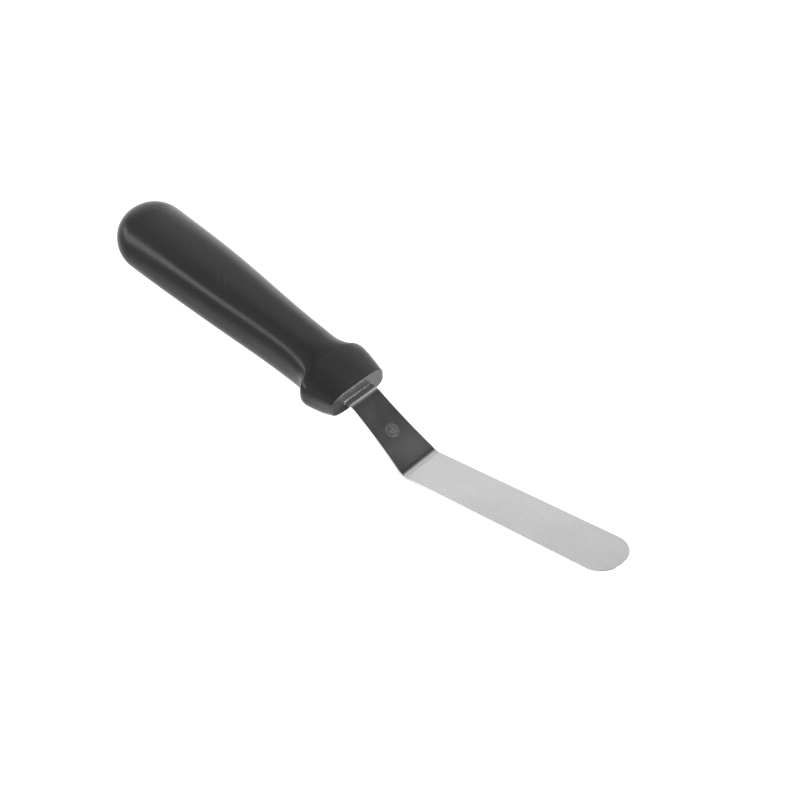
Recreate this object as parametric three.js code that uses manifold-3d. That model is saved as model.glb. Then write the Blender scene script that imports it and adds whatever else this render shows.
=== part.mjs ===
// Offset spatula: a cranked stainless sheet blade with its tang moulded into a tapered handle.
// Units are millimetres. +X runs from the butt to the tip of the blade and +Z is up. The spatula
// lies on the plane z = 0, which it touches with the heel of the blade and the underside of the
// butt, and the origin is at the middle of its length on that plane.
import * as THREE from 'three';
import { mergeVertices } from 'three/addons/utils/BufferGeometryUtils.js';
import Module from 'manifold-3d';

// Steel sheet, measured along its upper surface from the front face of the handle.
const STRIP_LENGTH = 1.9;
const BEND_RADIUS = 7;
const CRANK_ANGLE = THREE.MathUtils.degToRad(24.3);
const CRANK_LENGTH = 24.6;
const HEEL_RADIUS = 5;
const BLADE_ANGLE = THREE.MathUtils.degToRad(17.8);
const BLADE_LENGTH = 81.2;
const BLADE_WIDTH = 15.4;
const CRANK_ROOT_WIDTH = 12.1;
const SHEET_THICKNESS = 1;
const TIP_THICKNESS = 0.55;
const FULL_THICKNESS_LENGTH = 12;

// Tang, the narrow tail of the same sheet inside the handle, with two holes that lock it there.
const TANG_LENGTH = 62;
const TANG_WIDTH = 9.6;
const TANG_SHOULDER = 6;
const TANG_SHOULDER_LENGTH = 4;
const TANG_HOLE_RADIUS = 2.4;
const TANG_HOLES = [-24, -48];

// Handle, measured back from its front face. Each section is a superellipse.
const HANDLE_LENGTH = 122.6;
const BUTT_LENGTH = 15;
const NECK_BACK = 19;

// Clearance between the moulded plastic and the steel, and the thin lip round the slot.
const GAP = 0.3;
const LIP_WIDTH = 0.5;
const LIP_HEIGHT = 0.35;

const AROUND = 48;
const wasm = await Module();
wasm.setup();

// ---- The sheet's path -------------------------------------------------------------------------

const bendLength = BEND_RADIUS * CRANK_ANGLE;
const heelLength = HEEL_RADIUS * (CRANK_ANGLE + BLADE_ANGLE);
const bendStart = STRIP_LENGTH;
const crankStart = bendStart + bendLength;
const heelStart = crankStart + CRANK_LENGTH;
const bladeStart = heelStart + heelLength;
const tipEnd = bladeStart + BLADE_LENGTH;

// A point of the upper surface at length s from the front face, with the sheet's slope there.
function pathPoint(s) {
  const point = { x: Math.min(s, bendStart), z: 0, slope: 0 };
  const bent = THREE.MathUtils.clamp(s - bendStart, 0, bendLength) / BEND_RADIUS;
  point.x += BEND_RADIUS * Math.sin(bent);
  point.z -= BEND_RADIUS * (1 - Math.cos(bent));
  const crank = THREE.MathUtils.clamp(s - crankStart, 0, CRANK_LENGTH);
  point.x += crank * Math.cos(CRANK_ANGLE);
  point.z -= crank * Math.sin(CRANK_ANGLE);
  const raised = THREE.MathUtils.clamp(s - heelStart, 0, heelLength) / HEEL_RADIUS;
  point.slope = raised - bent;
  point.x += HEEL_RADIUS * (Math.sin(CRANK_ANGLE) - Math.sin(CRANK_ANGLE - raised));
  point.z += HEEL_RADIUS * (Math.cos(CRANK_ANGLE) - Math.cos(CRANK_ANGLE - raised));
  const blade = Math.max(s - bladeStart, 0);
  point.x += blade * Math.cos(BLADE_ANGLE);
  point.z += blade * Math.sin(BLADE_ANGLE);
  return point;
}

const heelDepth = -pathPoint(heelStart).z + (HEEL_RADIUS + SHEET_THICKNESS)
  - HEEL_RADIUS * Math.cos(CRANK_ANGLE);
const axisHeight = heelDepth - SHEET_THICKNESS / 2;
const faceX = (HANDLE_LENGTH - pathPoint(tipEnd).x) / 2;

// ---- The sheet's plan ---------------------------------------------------------------------------

function halfWidthAt(s) {
  const tipRadius = BLADE_WIDTH / 2;
  const pastTipCentre = s - (tipEnd - tipRadius);
  if (pastTipCentre > 0) {
    return Math.sqrt(Math.max(tipRadius ** 2 - pastTipCentre ** 2, 0));
  }
  const crank = THREE.MathUtils.clamp((s - crankStart) / CRANK_LENGTH, 0, 1);
  const flare = 0.36 * crank + 0.64 * crank ** 2;
  const steel = THREE.MathUtils.lerp(CRANK_ROOT_WIDTH, BLADE_WIDTH, flare) / 2;
  const tang = THREE.MathUtils.smoothstep(-s, TANG_SHOULDER, TANG_SHOULDER + TANG_SHOULDER_LENGTH);
  return THREE.MathUtils.lerp(steel, TANG_WIDTH / 2, tang);
}

function thicknessAt(s) {
  const thinning = THREE.MathUtils.clamp(
    (s - bladeStart - FULL_THICKNESS_LENGTH) / (BLADE_LENGTH - FULL_THICKNESS_LENGTH), 0, 1);
  return THREE.MathUtils.lerp(SHEET_THICKNESS, TIP_THICKNESS, thinning);
}

function evenSteps(from, to, count) {
  return Array.from({ length: count + 1 }, (_, i) => THREE.MathUtils.lerp(from, to, i / count));
}

// Lengths at which the sheet has a cross-section, closer together in the bends and round the tip.
function sheetStations() {
  const tipRadius = BLADE_WIDTH / 2;
  const tipAngles = evenSteps(0, Math.PI / 2, 14).slice(0, -1);
  return [
    -TANG_LENGTH,
    -TANG_SHOULDER - TANG_SHOULDER_LENGTH,
    ...evenSteps(-TANG_SHOULDER - TANG_SHOULDER_LENGTH, -TANG_SHOULDER, 4).slice(1),
    ...evenSteps(bendStart, crankStart, 6),
    ...evenSteps(crankStart, heelStart, 8).slice(1),
    ...evenSteps(heelStart, bladeStart, 10).slice(1),
    bladeStart + FULL_THICKNESS_LENGTH,
    ...tipAngles.map((angle) => tipEnd - tipRadius * (1 - Math.sin(angle))),
    tipEnd - tipRadius * (1 - Math.sin(Math.PI / 2 - 0.03)),
  ];
}

// ---- Closed meshes --------------------------------------------------------------------------------

// Joins rings of equally many points into one closed skin, with a flat fan over each end.
function loft(rings) {
  const count = rings[0].length;
  const positions = rings.flat(2);
  const index = [];
  for (let i = 0; i + 1 < rings.length; i += 1) {
    for (let j = 0; j < count; j += 1) {
      const a = i * count + j;
      const b = i * count + ((j + 1) % count);
      index.push(a, b, a + count, b, b + count, a + count);
    }
  }
  const last = (rings.length - 1) * count;
  for (let j = 1; j + 1 < count; j += 1) {
    index.push(0, j + 1, j);
    index.push(last, last + j, last + j + 1);
  }
  const geometry = new THREE.BufferGeometry();
  geometry.setAttribute('position', new THREE.Float32BufferAttribute(positions, 3));
  geometry.setIndex(index);
  return geometry;
}

function toSolid(geometry) {
  const bare = geometry.clone();
  bare.deleteAttribute('normal');
  bare.deleteAttribute('uv');
  const merged = mergeVertices(bare);
  return new wasm.Manifold(new wasm.Mesh({
    numProp: 3,
    vertProperties: new Float32Array(merged.attributes.position.array),
    triVerts: new Uint32Array(merged.index.array),
  }));
}

function toGeometry(solid) {
  const mesh = solid.getMesh();
  const geometry = new THREE.BufferGeometry();
  geometry.setAttribute('position', new THREE.BufferAttribute(mesh.vertProperties, 3));
  geometry.setIndex(new THREE.BufferAttribute(mesh.triVerts, 1));
  return geometry;
}

// ---- Blade ----------------------------------------------------------------------------------------

// One cross-section of the sheet at length s, grown by `grow` on every side.
function sheetRing(s, grow = 0) {
  const { x, z, slope } = pathPoint(s);
  const half = halfWidthAt(s) + grow;
  const corner = (side, depth) => [
    faceX + x + depth * Math.sin(slope),
    side * half,
    axisHeight + SHEET_THICKNESS / 2 + z - depth * Math.cos(slope),
  ];
  const under = thicknessAt(s) + grow;
  return [corner(-1, -grow), corner(-1, under), corner(1, under), corner(1, -grow)];
}

// Upright round pins through the tang's holes.
function tangPins(radius, length) {
  return TANG_HOLES.map((x) => {
    const pin = new THREE.CylinderGeometry(radius, radius, length, 24);
    pin.rotateX(Math.PI / 2);
    pin.translate(faceX + x, 0, axisHeight);
    return toSolid(pin);
  });
}

function makeBlade() {
  let solid = toSolid(loft(sheetStations().map((s) => sheetRing(s))));
  for (const pin of tangPins(TANG_HOLE_RADIUS, 4 * SHEET_THICKNESS)) {
    solid = solid.subtract(pin);
  }
  return toGeometry(solid);
}

// ---- Handle -----------------------------------------------------------------------------------------

// Sections of the bolster and the grip: distance back from the front face, half width, height
// above and below the tang, and how square the section is.
const SECTIONS = [
  { back: 0, half: 11.6, top: 5, bottom: 4.2, square: 3.6 },
  { back: 5, half: 12.9, top: 5.9, bottom: 6.4, square: 3.4 },
  { back: 9.5, half: 13.8, top: 7, bottom: 7.4, square: 3.2 },
  { back: 11.5, half: 14.05, top: 8.1, bottom: 8.1, square: 3 },
  { back: 13.3, half: 13.8, top: 8.2, bottom: 8.3, square: 2.8 },
  { back: 15.6, half: 9.9, top: 9.3, bottom: 9.6, square: 2.9 },
  { back: NECK_BACK, half: 9.4, top: 9.7, bottom: 9.9, square: 3 },
  { back: NECK_BACK + 6, half: 9.1, top: 10.15, bottom: 9.9, square: 3.1 },
  { back: NECK_BACK + 47, half: 11.5, top: 12, bottom: 9.5, square: 2.9 },
  { back: HANDLE_LENGTH - BUTT_LENGTH, half: 13.9, top: 13.6, bottom: axisHeight, square: 2.1 },
];

// Smooth curve through the sections that never overshoots them.
function sectionValue(back, key) {
  const last = SECTIONS.length - 1;
  const i = Math.min(SECTIONS.findLastIndex((section) => section.back <= back), last - 1);
  const rise = (k) => (SECTIONS[k + 1][key] - SECTIONS[k][key])
    / (SECTIONS[k + 1].back - SECTIONS[k].back);
  const tangent = (k) => {
    if (k === 0 || k === last) {
      return rise(Math.min(k, last - 1));
    }
    const before = rise(k - 1);
    const after = rise(k);
    return before * after > 0 ? (2 * before * after) / (before + after) : 0;
  };
  const span = SECTIONS[i + 1].back - SECTIONS[i].back;
  const t = (back - SECTIONS[i].back) / span;
  return (1 + 2 * t) * (1 - t) ** 2 * SECTIONS[i][key]
    + t * (1 - t) ** 2 * span * tangent(i)
    + t ** 2 * (3 - 2 * t) * SECTIONS[i + 1][key]
    + t ** 2 * (t - 1) * span * tangent(i + 1);
}

const signedPower = (value, power) => Math.sign(value) * Math.abs(value) ** power;

// The outline of the handle at a distance back from the front face, drawn in by `scale`.
function handleRing(back, scale = 1) {
  const inGrip = Math.min(back, HANDLE_LENGTH - BUTT_LENGTH);
  const half = sectionValue(inGrip, 'half') * scale;
  const top = sectionValue(inGrip, 'top') * scale;
  const bottom = sectionValue(inGrip, 'bottom') * scale;
  const power = 2 / sectionValue(inGrip, 'square');
  return Array.from({ length: AROUND }, (_, j) => {
    const angle = (-2 * Math.PI * (j + 0.5)) / AROUND;
    const rise = signedPower(Math.sin(angle), power);
    return [
      faceX - back,
      half * signedPower(Math.cos(angle), power),
      axisHeight + rise * (rise > 0 ? top : bottom),
    ];
  });
}

function handleSkin() {
  const buttStart = HANDLE_LENGTH - BUTT_LENGTH;
  const rings = [
    ...evenSteps(0, 9.5, 5),
    ...evenSteps(9.5, NECK_BACK + 1, 10).slice(1),
    ...evenSteps(NECK_BACK + 1, buttStart, 7).slice(1),
  ].map((back) => handleRing(back));
  const dome = evenSteps(0, Math.PI / 2, 9).slice(1, -1);
  for (const angle of [...dome, Math.PI / 2 - 0.06]) {
    rings.push(handleRing(buttStart + BUTT_LENGTH * Math.sin(angle), Math.cos(angle)));
  }
  return loft(rings);
}

// A thin raised lip on the front face, round the slot that the steel comes out of.
function slotLip() {
  const half = CRANK_ROOT_WIDTH / 2 + GAP + LIP_WIDTH;
  const rise = SHEET_THICKNESS / 2 + GAP + LIP_WIDTH;
  const lip = new THREE.BoxGeometry(2 * LIP_HEIGHT, 2 * half, 2 * rise);
  lip.translate(faceX, 0, axisHeight);
  return toSolid(lip);
}

// The space for the tang, from its far end to just past the lip, left open where pins cross it.
function tangSlot() {
  const stations = sheetStations().filter((s) => s < 0);
  const rings = [-TANG_LENGTH - GAP, ...stations, 0, STRIP_LENGTH - LIP_HEIGHT];
  const slot = toSolid(loft(rings.map((s) => sheetRing(s, GAP))));
  return tangPins(TANG_HOLE_RADIUS - GAP, 4 * SHEET_THICKNESS)
    .reduce((solid, pin) => solid.subtract(pin), slot);
}

function makeHandle() {
  return toGeometry(toSolid(handleSkin()).add(slotLip()).subtract(tangSlot()));
}

// ---- Assembly ---------------------------------------------------------------------------------------

const steel = new THREE.MeshStandardMaterial({ color: 0xc4c5c6, roughness: 0.32, metalness: 1 });
const plastic = new THREE.MeshStandardMaterial({ color: 0x2b2b2c, roughness: 0.5, metalness: 0 });

function named(name, geometry, material) {
  const mesh = new THREE.Mesh(geometry, material);
  mesh.name = name;
  return mesh;
}

const spatula = new THREE.Group();
spatula.add(named('blade', makeBlade(), steel));
spatula.add(named('handle', makeHandle(), plastic));

export default spatula;
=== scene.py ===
# Offset spatula: fine meshes, materials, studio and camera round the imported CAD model. Metres.
import math

import bpy
import numpy as np
from mathutils import Matrix, Vector


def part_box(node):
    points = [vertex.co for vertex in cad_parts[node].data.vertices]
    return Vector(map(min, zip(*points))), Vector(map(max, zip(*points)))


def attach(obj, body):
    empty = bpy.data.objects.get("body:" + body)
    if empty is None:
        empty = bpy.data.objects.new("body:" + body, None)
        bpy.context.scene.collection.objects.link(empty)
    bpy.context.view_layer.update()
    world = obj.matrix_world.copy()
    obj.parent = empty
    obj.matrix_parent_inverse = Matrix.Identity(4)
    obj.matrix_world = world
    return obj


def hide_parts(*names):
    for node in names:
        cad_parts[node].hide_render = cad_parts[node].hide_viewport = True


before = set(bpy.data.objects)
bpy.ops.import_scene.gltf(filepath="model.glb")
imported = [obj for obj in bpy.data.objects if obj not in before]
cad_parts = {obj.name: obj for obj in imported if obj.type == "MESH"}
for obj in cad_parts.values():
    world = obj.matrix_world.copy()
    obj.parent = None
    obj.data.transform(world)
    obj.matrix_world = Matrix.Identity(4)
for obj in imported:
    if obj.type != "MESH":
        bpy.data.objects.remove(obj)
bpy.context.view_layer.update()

MM = 0.001
blade_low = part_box("blade")[0]
handle_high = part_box("handle")[1]

# ---- Driving dimensions ---------------------------------------------------------------------------

# The CAD model's.
STRIP_LENGTH = 1.9 * MM
BEND_RADIUS = 7 * MM
CRANK_ANGLE = math.radians(24.3)
CRANK_LENGTH = 24.6 * MM
HEEL_RADIUS = 5 * MM
BLADE_ANGLE = math.radians(17.8)
BLADE_LENGTH = 81.2 * MM
BLADE_WIDTH = 15.4 * MM
CRANK_ROOT_WIDTH = 12.1 * MM
SHEET_THICKNESS = 1 * MM
TIP_THICKNESS = 0.55 * MM
FULL_THICKNESS_LENGTH = 12 * MM

TANG_LENGTH = 62 * MM
TANG_WIDTH = 9.6 * MM
TANG_SHOULDER = 6 * MM
TANG_SHOULDER_LENGTH = 4 * MM

HANDLE_LENGTH = 122.6 * MM
BUTT_LENGTH = 15 * MM
CAD_LIP_HEIGHT = 0.35 * MM

# Finer ones: the sheet's rounded edge and the loop that keeps its faces flat, the round on the
# edge of the handle's front face, the closed slot with its lip, and where the rings are spaced out.
EDGE_RADIUS = 0.14 * MM
EDGE_SUPPORT = 2.2 * EDGE_RADIUS
FACE_FILLET = 0.35 * MM
SLOT_GAP = 0.02 * MM
SLOT_MOUTH = 0.5 * MM
LIP_WIDTH = 0.36 * MM
LIP_HEIGHT = 0.14 * MM
LIP_FOOT = 0.12 * MM
NECK_END = 24 * MM

# Handle sections in mm: distance back from the front face, half width, height above and below
# the tang, and how square the section is. They are the CAD model's, but where the neck runs into
# the bolster it is rounder and its half width up to 1.1 mm larger, the bolster's top is 0.5 mm
# lower at its widest point, and the grip's half width and height are up to 0.2 mm larger.
SECTIONS = np.array([
    (0, 11.6, 5, 4.2, 3.6),
    (5, 12.9, 5.9, 6.4, 3.4),
    (9.5, 13.8, 7, 7.4, 3.2),
    (11.5, 14.05, 7.6, 8.1, 3),
    (13.3, 13.8, 8.2, 8.3, 2.8),
    (15.6, 11, 9.3, 9.6, 2.4),
    (19, 9.8, 9.8, 9.9, 2.5),
    (25, 9.3, 10.35, 9.9, 2.9),
    (66, 11.65, 12.15, 9.5, 2.9),
    (107.6, 13.9, 13.6, 11.68, 2.1),
])

# The sections are smoothed at every SECTION_STEP mm by a running average. Its reach is in steps,
# and grows from the bolster's to the grip's over the hollow between them.
SECTION_STEP = 0.1
BOLSTER_REACH = 4
GRIP_REACH = 17
HOLLOW_START = 13.6
HOLLOW_RUN = 1.8

# Growth of the half width, top, bottom and squareness per mm beyond the last section.
BUTT_GROWTH = (0.039, 0.052, 0.035, 0)

# The round mark etched on the crank: its place along it, its size, and the thin ring in it, which
# is full up to one distance from its middle line and gone at the next.
MARK_ALONG = 13.9 * MM - BEND_RADIUS * math.tan(CRANK_ANGLE / 2)
MARK_RADIUS = 2.5 * MM
MARK_EDGE = 0.12 * MM
MARK_RING_RADIUS = 0.72 * MARK_RADIUS
MARK_RING_FULL = 0.1 * MM
MARK_RING_GONE = 0.3 * MM
MARK_DEPTH = 0.3 * MM

# The steel's two shades, and the plastic's four: dark, light, on worn marks, and a painted highlight on
# the slot's lip.
STEEL_DARK = (0.62, 0.62, 0.63)
STEEL_LIGHT = (0.74, 0.74, 0.745)
PLASTIC_DARK = (0.03, 0.03, 0.0305)
PLASTIC_LIGHT = (0.045, 0.045, 0.0455)
PLASTIC_WORN = (0.075, 0.075, 0.075)
PLASTIC_LIP_HIGHLIGHT = (0.22, 0.22, 0.22)

# The painted highlight on the lip: its fall-off away from the slot and across to the far side.
LIP_HIGHLIGHT_NEAR_SLOT = (0.25 * MM, 0.5 * MM)
LIP_HIGHLIGHT_ACROSS = (-6 * MM, 4 * MM)
LIP_HIGHLIGHT_FAR_SHARE = 0.2
LIP_HIGHLIGHT_DEPTH = 0.1 * MM

# Noise cells per metre along, across and through the object, and the depths of the bumps.
STREAK_CELLS = (30, 2600, 2600)
HAIRLINE_CELLS = (90, 7000, 7000)
WAVE_CELLS = (55, 90, 90)
ETCHING_CELLS = (2000, 1100, 2000)
GRAIN_CELLS = (2600, 2600, 2600)
PEEL_CELLS = (700, 700, 700)
CLOUD_CELLS = (60, 60, 60)
SCRATCH_CELLS = (3200, 60, 60)
SCRATCH_PATCH_CELLS = (70, 70, 70)
SCRATCH_PATCH_SHIFT = (0.03, 0, 0)
STREAK_BUMP = 0.005 * MM
WAVE_BUMP = 0.02 * MM
PLASTIC_BUMP = 0.02 * MM

# Where the floor's painted glow rises: across the handle on its near and its far side, along it from
# butt to neck, away from the steel's middle line (a painted shadow under the steel), and along the
# object from handle to steel.
NEAR_SIDE = (-36 * MM, -6 * MM)
FAR_SIDE = (6 * MM, 30 * MM)
BUTT_TO_NECK = (-170 * MM, -60 * MM)
BESIDE_STEEL = (4 * MM, 12 * MM)
HANDLE_TO_STEEL = (-12 * MM, 4 * MM)
BUTT_SHARE = 0.1

# Light that the floor gives off, and the sky's brightness against the height of its direction.
GLOW_BY_HANDLE = 0.7
GLOW_BEHIND_HANDLE = 0.65
GLOW_BY_STEEL = 1.3
FLOOR_GLOW_SEEN = 1.0
FLOOR_REACH = 4.0
SKY_BEHIND = [(0, 0.85), (0.2, 0.93), (0.26, 0.92), (0.293, 0.88), (0.351, 0.845), (0.423, 0.75),
              (0.55, 0.66), (0.62, 0.67), (0.7, 0.76), (0.75, 0.74), (0.8, 0.43), (0.83, 0.24),
              (0.85, 0.1), (0.868, 0.05), (1, 0.045)]
SKY_IN_FRONT = [(0, 0.05), (0.1, 0.15), (0.45, 0.45), (0.62, 0.5), (0.75, 0.48), (0.85, 0.25),
                (1, 0.06)]
SKY_TILT = math.radians(7)
SKY_ALL_IN_FRONT = -0.45
SKY_ALL_BEHIND = 0.35

# ---- The sheet ------------------------------------------------------------------------------------

bend_length = BEND_RADIUS * CRANK_ANGLE
heel_length = HEEL_RADIUS * (CRANK_ANGLE + BLADE_ANGLE)
crank_start = STRIP_LENGTH + bend_length
heel_start = crank_start + CRANK_LENGTH
blade_start = heel_start + heel_length
tip_end = blade_start + BLADE_LENGTH
tip_radius = BLADE_WIDTH / 2


def path(s):
    """x, z and slope of the sheet's upper surface at length s from the front face."""
    s = np.asarray(s, float)
    bent = np.clip(s - STRIP_LENGTH, 0, bend_length) / BEND_RADIUS
    crank = np.clip(s - crank_start, 0, CRANK_LENGTH)
    raised = np.clip(s - heel_start, 0, heel_length) / HEEL_RADIUS
    blade = np.clip(s - blade_start, 0, None)
    x = (np.minimum(s, STRIP_LENGTH) + BEND_RADIUS * np.sin(bent) + crank * math.cos(CRANK_ANGLE)
         + HEEL_RADIUS * (math.sin(CRANK_ANGLE) - np.sin(CRANK_ANGLE - raised))
         + blade * math.cos(BLADE_ANGLE))
    z = (-BEND_RADIUS * (1 - np.cos(bent)) - crank * math.sin(CRANK_ANGLE)
         + HEEL_RADIUS * (math.cos(CRANK_ANGLE) - np.cos(CRANK_ANGLE - raised))
         + blade * math.sin(BLADE_ANGLE))
    return x, z, raised - bent


# The heel's underside is the sheet's lowest point: its depth below the strip's upper surface.
heel_depth = (HEEL_RADIUS + SHEET_THICKNESS - HEEL_RADIUS * math.cos(CRANK_ANGLE)
              - float(path(heel_start)[1]))
axis_z = blade_low[2] + heel_depth - SHEET_THICKNESS / 2
face_x = handle_high[0] - CAD_LIP_HEIGHT
top_z = axis_z + SHEET_THICKNESS / 2


def smoothstep(t):
    """0 up to t = 0, 1 from t = 1, and an S-shaped rise between."""
    t = np.clip(t, 0, 1)
    return t * t * (3 - 2 * t)


def half_width(s):
    """Half the sheet's width at length s, before the round tip."""
    crank = np.clip((s - crank_start) / CRANK_LENGTH, 0, 1)
    flare = 0.36 * crank + 0.64 * crank ** 2
    steel = (CRANK_ROOT_WIDTH + (BLADE_WIDTH - CRANK_ROOT_WIDTH) * flare) / 2
    tang = smoothstep((-s - TANG_SHOULDER) / TANG_SHOULDER_LENGTH)
    return steel + (TANG_WIDTH / 2 - steel) * tang


def thickness(s):
    """The sheet's thickness at length s, thinned towards the tip."""
    thinning = (s - blade_start - FULL_THICKNESS_LENGTH) / (BLADE_LENGTH - FULL_THICKNESS_LENGTH)
    return SHEET_THICKNESS + (TIP_THICKNESS - SHEET_THICKNESS) * np.clip(thinning, 0, 1)


def sheet_side(inset):
    """Lengths and half widths of one side of the plan, drawn in by inset, from tang to tip."""
    tang_front = -TANG_SHOULDER
    tang_back = tang_front - TANG_SHOULDER_LENGTH
    s = np.concatenate([
        np.linspace(-TANG_LENGTH + inset, tang_back, 12),
        np.linspace(tang_back, tang_front, 9)[1:],
        np.linspace(tang_front, STRIP_LENGTH, 8)[1:],
        np.linspace(STRIP_LENGTH, crank_start, 25)[1:],
        np.linspace(crank_start, heel_start, 33)[1:],
        np.linspace(heel_start, blade_start, 33)[1:],
        np.linspace(blade_start, tip_end - tip_radius, 49)[1:],
    ])
    half = half_width(s) - inset
    turn = np.linspace(0, math.pi / 2, 49)[1:]
    reach = tip_radius - inset
    s = np.concatenate([s, tip_end - tip_radius + reach * np.sin(turn)])
    half = np.concatenate([half, reach * np.cos(turn)])
    half[-1] = 0
    return s, half


def sheet_layer(inset, share, lift):
    """A closed loop of the sheet: inset from its plan, at a share of its thickness plus lift."""
    s, half = sheet_side(inset)
    x, z, slope = path(s)
    depth = thickness(s) * share + lift
    x = face_x + x + depth * np.sin(slope)
    z = top_z + z - depth * np.cos(slope)
    right = np.column_stack([x, half, z])
    left = np.column_stack([x, -half, z])[-2::-1]
    return np.concatenate([right, left]), len(s)


def make_mesh(name, vertices, faces):
    """A smooth-shaded mesh object, linked to the scene."""
    mesh = bpy.data.meshes.new(name)
    mesh.from_pydata([tuple(v) for v in vertices], [], faces)
    mesh.validate()
    mesh.update()
    mesh.polygons.foreach_set("use_smooth", [True] * len(mesh.polygons))
    piece = bpy.data.objects.new(name, mesh)
    bpy.context.scene.collection.objects.link(piece)
    return piece


def make_blade():
    """The sheet as stacked loops: round its two edges, with both faces closed by strips of quads."""
    turn = np.linspace(0, math.pi / 2, 5)
    insets = [(EDGE_RADIUS * (1 - math.sin(a)), EDGE_RADIUS * (1 - math.cos(a))) for a in turn]
    layers = [(EDGE_SUPPORT, 0, 0)]
    layers += [(inset, 0, lift) for inset, lift in insets]
    layers += [(inset, 1, -lift) for inset, lift in reversed(insets)]
    layers += [(EDGE_SUPPORT, 1, 0)]
    vertices = []
    faces = []
    for inset, share, lift in layers:
        loop, side = sheet_layer(inset, share, lift)
        count = len(loop)
        vertices.append(loop)
    for k in range(len(layers) - 1):
        for j in range(count):
            a = k * count + j
            b = k * count + (j + 1) % count
            faces.append((a, b, b + count, a + count))
    for base, flip in ((0, False), ((len(layers) - 1) * count, True)):
        for j in range(side - 1):
            ring = [base + j, base + count - 1 - j, base + count - 2 - j, base + j + 1]
            if j == side - 2:
                ring = [base + j, base + count - 1 - j, base + j + 1]
            faces.append(tuple(reversed(ring)) if flip else tuple(ring))
    return make_mesh("blade_sheet", np.concatenate(vertices), faces)


# ---- The handle -------------------------------------------------------------------------------------

AROUND = 192
angles = 2 * math.pi * np.arange(AROUND) / AROUND
ring_side = np.cos(angles)
ring_rise = np.sin(angles)


def section_curves():
    """Closely spaced distances back in mm, and each of the sections' values there, smoothed."""
    back = SECTIONS[:, 0]
    fine = np.arange(0, back[-1] + 0.01, SECTION_STEP)
    curves = []
    for column in SECTIONS.T[1:]:
        rise = np.diff(column) / np.diff(back)
        product = rise[:-1] * rise[1:]
        total = rise[:-1] + rise[1:]
        tangent = np.concatenate([
            rise[:1],
            np.where(product > 0, 2 * product / np.where(product > 0, total, 1), 0),
            rise[-1:],
        ])
        i = np.clip(np.searchsorted(back, fine, side="right") - 1, 0, len(back) - 2)
        span = np.diff(back)[i]
        t = (fine - back[i]) / span
        value = ((1 + 2 * t) * (1 - t) ** 2 * column[i] + t * (1 - t) ** 2 * span * tangent[i]
                 + t ** 2 * (3 - 2 * t) * column[i + 1]
                 + t ** 2 * (t - 1) * span * tangent[i + 1])
        bolster = soften(value, rise[0], rise[-1], BOLSTER_REACH)
        grip = soften(value, rise[0], rise[-1], GRIP_REACH)
        in_hollow = smoothstep((fine - HOLLOW_START) / HOLLOW_RUN)
        curves.append(bolster + (grip - bolster) * in_hollow)
    return fine, curves


def soften(values, slope_before, slope_after, reach):
    """A running average that keeps the slope at both ends."""
    step = SECTION_STEP * np.arange(1, 3 * reach + 1)
    padded = np.concatenate([values[0] - slope_before * step[::-1], values,
                             values[-1] + slope_after * step])
    weight = np.exp(-0.5 * (np.arange(-3 * reach, 3 * reach + 1) / reach) ** 2)
    return np.convolve(padded, weight / weight.sum(), mode="valid")


fine_back, section_values = section_curves()


def handle_ring(back, inset=0.0, scale=1.0, x_back=None):
    """The handle's section at a distance back from the front face, drawn in by inset. It is placed
    at x_back instead, where that is given."""
    past_end = max(back / MM - fine_back[-1], 0)
    half, top, bottom, square = (np.interp(back / MM, fine_back, values) + past_end * growth
                                 for values, growth in zip(section_values, BUTT_GROWTH))
    power = 2 / square
    y = np.sign(ring_side) * np.abs(ring_side) ** power * (half * MM - inset) * scale
    rise = np.sign(ring_rise) * np.abs(ring_rise) ** power
    z = rise * np.where(rise > 0, top * MM - inset, bottom * MM - inset) * scale
    x = np.full(AROUND, face_x - (back if x_back is None else x_back))
    return np.column_stack([x, y, axis_z + z])


def slot_ring(x, half, rise):
    """A rectangle round the sheet's section."""
    reach = np.maximum(np.abs(ring_side), np.abs(ring_rise))
    return np.column_stack([np.full(AROUND, face_x + x), half * ring_side / reach,
                            axis_z + rise * ring_rise / reach])


def slot_rings():
    """The slot from its far end to its mouth, and over the lip to the front face."""
    rise = SHEET_THICKNESS / 2 + SLOT_GAP
    root = CRANK_ROOT_WIDTH / 2 + SLOT_GAP
    shoulder_back = -TANG_SHOULDER - TANG_SHOULDER_LENGTH
    lengths = np.concatenate([
        np.linspace(-TANG_LENGTH, shoulder_back, 4),
        np.linspace(shoulder_back, -TANG_SHOULDER, 9)[1:],
        [-SLOT_MOUTH],
    ])
    halves = half_width(lengths) + SLOT_GAP
    lengths[0] -= SLOT_GAP
    rings = [slot_ring(length, half, rise) for length, half in zip(lengths, halves)]
    for turn in np.linspace(0, math.pi, 13):
        out = LIP_WIDTH / 2 * (1 - math.cos(turn))
        rings.append(slot_ring(LIP_HEIGHT * math.sin(turn), root + out, rise + out))
    out = LIP_WIDTH + LIP_FOOT
    rings.append(slot_ring(0, root + out, rise + out))
    return rings


def face_rings(inner):
    """The flat front face, from the lip to the small round on its edge."""
    outer = handle_ring(0, 2 * FACE_FILLET)
    rings = [inner + (outer - inner) * t for t in np.linspace(0, 1, 7)[1:]]
    for turn in np.linspace(0, math.pi / 2, 7):
        inset = FACE_FILLET * (1 - math.sin(turn))
        x_back = FACE_FILLET * (1 - math.cos(turn))
        section_at = 0 if turn < 1 else x_back
        rings.append(handle_ring(section_at, inset, x_back=x_back))
    return rings


def grip_rings():
    """From the bolster over the neck and the grip to the domed butt, short of its last point."""
    butt_start = HANDLE_LENGTH - BUTT_LENGTH
    backs = np.concatenate([
        np.linspace(2 * FACE_FILLET, NECK_END, 110),
        np.linspace(NECK_END, butt_start, 90)[1:],
    ])
    rings = [handle_ring(back) for back in backs]
    for turn in np.linspace(0, math.pi / 2, 49)[1:-1]:
        back = butt_start + BUTT_LENGTH * math.sin(turn)
        rings.append(handle_ring(back, scale=math.cos(turn)))
    return rings


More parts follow.
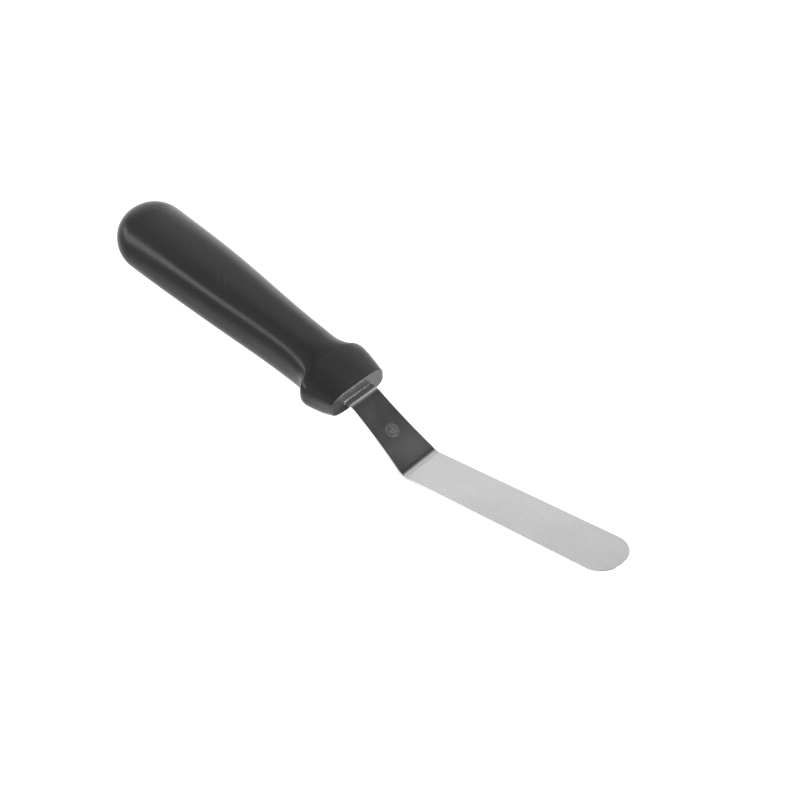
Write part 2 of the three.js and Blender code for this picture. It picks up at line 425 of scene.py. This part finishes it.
def make_handle():
    """The handle as one closed skin, from the slot's far end out over the face to the butt."""
    rings = slot_rings()
    rings += face_rings(rings[-1])
    rings += grip_rings()
    vertices = np.concatenate(rings)
    faces = []
    for i in range(len(rings) - 1):
        for j in range(AROUND):
            a = i * AROUND + j
            b = i * AROUND + (j + 1) % AROUND
            faces.append((a, a + AROUND, b + AROUND, b))
    ends = np.array([
        [face_x - TANG_LENGTH - SLOT_GAP, 0, axis_z],
        [face_x - HANDLE_LENGTH, 0, rings[-1][:, 2].mean()],
    ])
    first = len(vertices)
    last = first + 1
    start = (len(rings) - 1) * AROUND
    for j in range(AROUND):
        k = (j + 1) % AROUND
        faces.append((first, j, k))
        faces.append((last, start + k, start + j))
    return make_mesh("moulded_handle", np.concatenate([vertices, ends]), faces)


# ---- Materials --------------------------------------------------------------------------------------

class Shade:
    """A material's node tree, with short ways to add nodes and join them up."""

    def __init__(self, name):
        self.material = bpy.data.materials.new(name)
        self.material.use_nodes = True
        self.nodes = self.material.node_tree.nodes
        self.links = self.material.node_tree.links
        self.shader = self.nodes["Principled BSDF"]
        self.place = self.nodes.new("ShaderNodeTexCoord").outputs["Object"]

    def feed(self, socket, value):
        """Join a socket to the input, or set the input to a plain value."""
        if isinstance(value, bpy.types.NodeSocket):
            self.links.new(value, socket)
        else:
            socket.default_value = value

    def math(self, operation, first, second=0.0):
        node = self.nodes.new("ShaderNodeMath")
        node.operation = operation
        self.feed(node.inputs[0], first)
        self.feed(node.inputs[1], second)
        return node.outputs[0]

    def stretched(self, scale, turn=(0, 0, 0), shift=(0, 0, 0)):
        """Object coordinates shifted, turned and scaled, in that order."""
        node = self.nodes.new("ShaderNodeMapping")
        node.vector_type = "TEXTURE"
        node.inputs["Location"].default_value = shift
        node.inputs["Rotation"].default_value = turn
        node.inputs["Scale"].default_value = [1 / factor for factor in scale]
        self.links.new(self.place, node.inputs["Vector"])
        return node.outputs[0]

    def noise(self, vector, detail=3.0, roughness=0.5):
        node = self.nodes.new("ShaderNodeTexNoise")
        node.inputs["Scale"].default_value = 1
        node.inputs["Detail"].default_value = detail
        node.inputs["Roughness"].default_value = roughness
        self.links.new(vector, node.inputs["Vector"])
        return node.outputs["Fac"]

    def spread(self, value, low, high, out_low, out_high, smooth=False):
        """The value's range low to high, spread over out_low to out_high."""
        node = self.nodes.new("ShaderNodeMapRange")
        node.interpolation_type = "SMOOTHSTEP" if smooth else "LINEAR"
        self.feed(node.inputs["Value"], value)
        for name, number in (("From Min", low), ("From Max", high),
                             ("To Min", out_low), ("To Max", out_high)):
            self.feed(node.inputs[name], number)
        return node.outputs[0]

    def blend(self, amount, first, second):
        """The first colour, or colour socket, turned into the second by the amount."""
        node = self.nodes.new("ShaderNodeMix")
        node.data_type = "RGBA"
        if not isinstance(first, bpy.types.NodeSocket):
            first = (*first, 1)
        self.feed(node.inputs[0], amount)
        self.feed(node.inputs[6], first)
        node.inputs[7].default_value = (*second, 1)
        return node.outputs[2]

    def bump(self, height, distance, normal=None):
        node = self.nodes.new("ShaderNodeBump")
        node.inputs["Strength"].default_value = 1
        node.inputs["Distance"].default_value = distance
        self.links.new(height, node.inputs["Height"])
        if normal:
            self.links.new(normal, node.inputs["Normal"])
        return node.outputs[0]


def etched_disc(shade):
    """1 on the etched round mark of the crank's upper side, less on the one thin ring in it."""
    x, z, slope = path(crank_start + MARK_ALONG)
    shift = (face_x + float(x), 0, top_z + float(z))
    flat = shade.stretched((1, 1, 1), (0, -float(slope), 0), shift)
    split = shade.nodes.new("ShaderNodeSeparateXYZ")
    shade.links.new(flat, split.inputs[0])
    along = shade.math("MULTIPLY", split.outputs["X"], split.outputs["X"])
    across = shade.math("MULTIPLY", split.outputs["Y"], split.outputs["Y"])
    radius = shade.math("SQRT", shade.math("ADD", along, across))
    disc = shade.spread(radius, MARK_RADIUS - MARK_EDGE, MARK_RADIUS + MARK_EDGE, 1, 0, True)
    from_ring = shade.math("ABSOLUTE", shade.math("SUBTRACT", radius, MARK_RING_RADIUS))
    ring = shade.spread(from_ring, MARK_RING_FULL, MARK_RING_GONE, 0.6, 1, True)
    upper = shade.math("GREATER_THAN", split.outputs["Z"], -MARK_DEPTH)
    return shade.math("MULTIPLY", shade.math("MULTIPLY", disc, ring), upper)


def steel_material():
    """Stainless steel brushed along its length, slightly uneven, with the etched mark."""
    shade = Shade("brushed_stainless")
    streaks = shade.noise(shade.stretched(STREAK_CELLS), 4, 0.6)
    hairlines = shade.noise(shade.stretched(HAIRLINE_CELLS), 2, 0.5)
    waves = shade.noise(shade.stretched(WAVE_CELLS), 2, 0.5)
    mark = etched_disc(shade)

    tone = shade.math("ADD", shade.spread(streaks, 0.3, 0.7, -0.25, 0.25),
                      shade.spread(waves, 0.3, 0.7, -0.2, 0.2))
    bright = shade.spread(tone, -0.5, 0.5, 0, 1)
    colour = shade.blend(bright, STEEL_DARK, STEEL_LIGHT)
    shade.links.new(colour, shade.shader.inputs["Base Color"])

    grain = shade.spread(hairlines, 0.3, 0.7, 0.11, 0.2)
    worn = shade.math("ADD", grain, shade.spread(waves, 0.3, 0.7, -0.02, 0.03))
    etching = shade.spread(shade.noise(shade.stretched(ETCHING_CELLS)), 0.42, 0.58, 0.03, 0.12)
    rough = shade.math("ADD", worn, shade.math("MULTIPLY", mark, etching))
    shade.links.new(rough, shade.shader.inputs["Roughness"])

    normal = shade.bump(streaks, STREAK_BUMP)
    normal = shade.bump(waves, WAVE_BUMP, normal)
    shade.links.new(normal, shade.shader.inputs["Normal"])
    shade.shader.inputs["Metallic"].default_value = 1
    return shade.material


def specks(shade, cells, share, size):
    """1 on a few small round specks: one random cell in every 1/share holds one."""
    node = shade.nodes.new("ShaderNodeTexVoronoi")
    node.inputs["Scale"].default_value = cells
    shade.links.new(shade.place, node.inputs["Vector"])
    near = shade.spread(node.outputs["Distance"], size, 0.6 * size, 0, 1, True)
    split = shade.nodes.new("ShaderNodeSeparateXYZ")
    shade.links.new(node.outputs["Color"], split.inputs[0])
    chosen = shade.math("LESS_THAN", split.outputs["X"], share)
    return shade.math("MULTIPLY", near, chosen)


def scratches(shade, turn):
    """1 along a few fine scratches that run across the handle's length at an angle."""
    lines = shade.noise(shade.stretched(SCRATCH_CELLS, turn), 1, 0.4)
    thin = shade.spread(lines, 0.735, 0.76, 0, 1, True)
    patch_place = shade.stretched(SCRATCH_PATCH_CELLS, shift=SCRATCH_PATCH_SHIFT)
    patches = shade.noise(patch_place, 2, 0.5)
    return shade.math("MULTIPLY", thin, shade.spread(patches, 0.5, 0.62, 0, 1, True))


def painted_lip_highlight(shade):
    """1 on the near side of the thin lip round the slot, where a highlight is painted into the plastic's
    colour, and less towards its far side."""
    split = shade.nodes.new("ShaderNodeSeparateXYZ")
    shade.links.new(shade.place, split.inputs[0])
    above = shade.math("ABSOLUTE", shade.math("SUBTRACT", split.outputs["Z"], axis_z))
    beside = shade.math("SUBTRACT", shade.math("ABSOLUTE", split.outputs["Y"]),
                        CRANK_ROOT_WIDTH / 2)
    away = shade.math("MAXIMUM", beside, shade.math("SUBTRACT", above, SHEET_THICKNESS / 2))
    near = shade.spread(away, *LIP_HIGHLIGHT_NEAR_SLOT, 1, 0, True)
    in_front = shade.math("GREATER_THAN", split.outputs["X"], face_x - LIP_HIGHLIGHT_DEPTH)
    fading = shade.spread(split.outputs["Y"], *LIP_HIGHLIGHT_ACROSS, 1, LIP_HIGHLIGHT_FAR_SHARE)
    return shade.math("MULTIPLY", shade.math("MULTIPLY", near, in_front), fading)


def plastic_material():
    """Black polypropylene with a fine moulded grain, a few specks and scratches, and a highlight painted
    on the lip.
    """
    shade = Shade("moulded_polypropylene")
    grain = shade.noise(shade.stretched(GRAIN_CELLS), 3, 0.6)
    orange_peel = shade.noise(shade.stretched(PEEL_CELLS), 2, 0.5)
    clouds = shade.noise(shade.stretched(CLOUD_CELLS), 3, 0.5)
    marks = shade.math("MAXIMUM", specks(shade, cells=420, share=0.02, size=0.1),
                       shade.math("MAXIMUM", scratches(shade, turn=(0, 0, 0.9)),
                                  scratches(shade, turn=(0.3, 0, -0.5))))

    tone = shade.math("ADD", shade.spread(clouds, 0.3, 0.7, 0, 0.35),
                      shade.spread(grain, 0.3, 0.7, 0, 0.3))
    colour = shade.blend(tone, PLASTIC_DARK, PLASTIC_LIGHT)
    colour = shade.blend(marks, colour, PLASTIC_WORN)
    # A highlight painted in a paler colour on the lip round the slot.
    colour = shade.blend(painted_lip_highlight(shade), colour, PLASTIC_LIP_HIGHLIGHT)
    shade.links.new(colour, shade.shader.inputs["Base Color"])

    rough = shade.math("ADD", shade.spread(grain, 0.3, 0.7, 0.23, 0.33),
                       shade.spread(clouds, 0.3, 0.7, -0.02, 0.02))
    shade.links.new(rough, shade.shader.inputs["Roughness"])

    normal = shade.bump(grain, PLASTIC_BUMP)
    normal = shade.bump(orange_peel, PLASTIC_BUMP, normal)
    shade.links.new(normal, shade.shader.inputs["Normal"])
    shade.shader.inputs["IOR"].default_value = 1.43
    shade.shader.inputs["Sheen Weight"].default_value = 0.09
    shade.shader.inputs["Sheen Roughness"].default_value = 0.4
    return shade.material


# ---- Studio -------------------------------------------------------------------------------------------

CAMERA_AT = Vector((0.2073, -0.1869, 0.3126))
CAMERA_AIM = Vector((0.0192, 0.0076, 0.012))
CAMERA_ROLL = math.radians(1.14)
SENSOR = 36
FOCAL_LENGTH = 55.39


def make_camera():
    data = bpy.data.cameras.new("camera")
    data.lens = FOCAL_LENGTH
    data.sensor_width = SENSOR
    data.clip_start = 0.01
    camera = bpy.data.objects.new("camera", data)
    turn = (CAMERA_AIM - CAMERA_AT).to_track_quat("-Z", "Y").to_matrix().to_4x4()
    camera.matrix_world = (Matrix.Translation(CAMERA_AT) @ turn
                           @ Matrix.Rotation(CAMERA_ROLL, 4, "Z"))
    bpy.context.scene.collection.objects.link(camera)
    bpy.context.scene.camera = camera


def make_floor():
    """Pale paper, overexposed where the camera sees it. What the spatula mirrors of it is a painted
    glow: white beside the steel, with a painted shadow under its middle line. By the handle it brightens
    from the near side to the far side, and less so by the butt."""
    size = FLOOR_REACH
    corners = [(-size, -size, 0), (size, -size, 0), (size, size, 0), (-size, size, 0)]
    floor = make_mesh("floor", corners, [(0, 1, 2, 3)])
    shade = Shade("pale_floor")
    shade.shader.inputs["Base Color"].default_value = (0.5, 0.5, 0.5, 1)
    shade.shader.inputs["Roughness"].default_value = 1
    shade.shader.inputs["Specular IOR Level"].default_value = 0
    shade.shader.inputs["Emission Color"].default_value = (1, 1, 1, 1)
    seen = shade.nodes.new("ShaderNodeLightPath").outputs["Is Camera Ray"]
    split = shade.nodes.new("ShaderNodeSeparateXYZ")
    shade.links.new(shade.place, split.inputs[0])
    away = shade.math("ABSOLUTE", split.outputs["Y"])
    near_side = shade.spread(split.outputs["Y"], *NEAR_SIDE, 0, GLOW_BY_HANDLE, True)
    far_side = shade.spread(split.outputs["Y"], *FAR_SIDE, 0, GLOW_BEHIND_HANDLE, True)
    by_neck = shade.spread(split.outputs["X"], *BUTT_TO_NECK, BUTT_SHARE, 1, True)
    by_handle = shade.math("ADD", near_side, shade.math("MULTIPLY", far_side, by_neck))
    by_steel = shade.spread(away, *BESIDE_STEEL, 0, GLOW_BY_STEEL, True)
    forward = shade.spread(split.outputs["X"], *HANDLE_TO_STEEL, 0, 1, True)
    backward = shade.math("SUBTRACT", 1, forward)
    mirrored = shade.math("ADD", shade.math("MULTIPLY", forward, by_steel),
                          shade.math("MULTIPLY", backward, by_handle))
    glow = shade.spread(seen, 0, 1, mirrored, FLOOR_GLOW_SEEN)
    shade.links.new(glow, shade.shader.inputs["Emission Strength"])
    floor.data.materials.append(shade.material)


def brightness_ramp(nodes, links, value, stops):
    """A grey that follows the stops, pairs of position and brightness, as the value grows."""
    ramp = nodes.new("ShaderNodeValToRGB")
    links.new(value, ramp.inputs[0])
    elements = ramp.color_ramp.elements
    while len(elements) < len(stops):
        elements.new(0.5)
    for element, (position, level) in zip(elements, stops):
        element.position = position
        element.color = (level, level, level, 1)
    return ramp.outputs[0]


def make_world():
    """A bright low sky behind the spatula that fades upwards, and a dim one on the camera's side."""
    world = bpy.data.worlds.new("studio")
    bpy.context.scene.world = world
    world.use_nodes = True
    nodes = world.node_tree.nodes
    links = world.node_tree.links
    coordinates = nodes.new("ShaderNodeTexCoord")
    split = nodes.new("ShaderNodeSeparateXYZ")
    tilt = nodes.new("ShaderNodeMapping")
    tilt.inputs["Rotation"].default_value = (0, -SKY_TILT, 0)
    links.new(coordinates.outputs["Generated"], tilt.inputs["Vector"])
    links.new(tilt.outputs[0], split.inputs[0])
    behind = brightness_ramp(nodes, links, split.outputs["Z"], SKY_BEHIND)
    in_front = brightness_ramp(nodes, links, split.outputs["Z"], SKY_IN_FRONT)
    side = nodes.new("ShaderNodeMapRange")
    side.interpolation_type = "SMOOTHSTEP"
    side.inputs["From Min"].default_value = SKY_ALL_IN_FRONT
    side.inputs["From Max"].default_value = SKY_ALL_BEHIND
    links.new(split.outputs["Y"], side.inputs["Value"])
    mix = nodes.new("ShaderNodeMix")
    mix.data_type = "RGBA"
    links.new(side.outputs[0], mix.inputs[0])
    links.new(in_front, mix.inputs[6])
    links.new(behind, mix.inputs[7])
    links.new(mix.outputs[2], nodes["Background"].inputs["Color"])


def make_strip(name, at, aim, width, height, power):
    """A rectangular area light in watts, turned from where it stands towards its aim."""
    data = bpy.data.lights.new(name, "AREA")
    data.shape = "RECTANGLE"
    data.size = width
    data.size_y = height
    data.energy = power
    light = bpy.data.objects.new(name, data)
    turn = (Vector(aim) - Vector(at)).to_track_quat("-Z", "Y").to_matrix().to_4x4()
    light.matrix_world = Matrix.Translation(at) @ turn
    bpy.context.scene.collection.objects.link(light)


def make_lights():
    make_strip("side_strip", at=(-1.2, -0.6, 0.145), aim=(-1.2, 0, 0.015),
               width=1.9, height=0.24, power=4.1)
    make_strip("rear_softbox", at=(-0.5, 0.85, 0.28), aim=(0, 0, 0.2),
               width=0.4, height=0.56, power=0.62)
    make_strip("front_fill", at=(0.7, 0.3, 0.12), aim=(0, 0, 0.01),
               width=0.9, height=0.3, power=10)


# ---- Assembly -----------------------------------------------------------------------------------------

blade = make_blade()
blade.data.materials.append(steel_material())
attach(blade, "root")
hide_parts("blade")

handle = make_handle()
handle.data.materials.append(plastic_material())
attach(handle, "root")
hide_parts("handle")

make_floor()
make_world()
make_lights()
make_camera()
bpy.context.scene.view_settings.view_transform = "Standard"
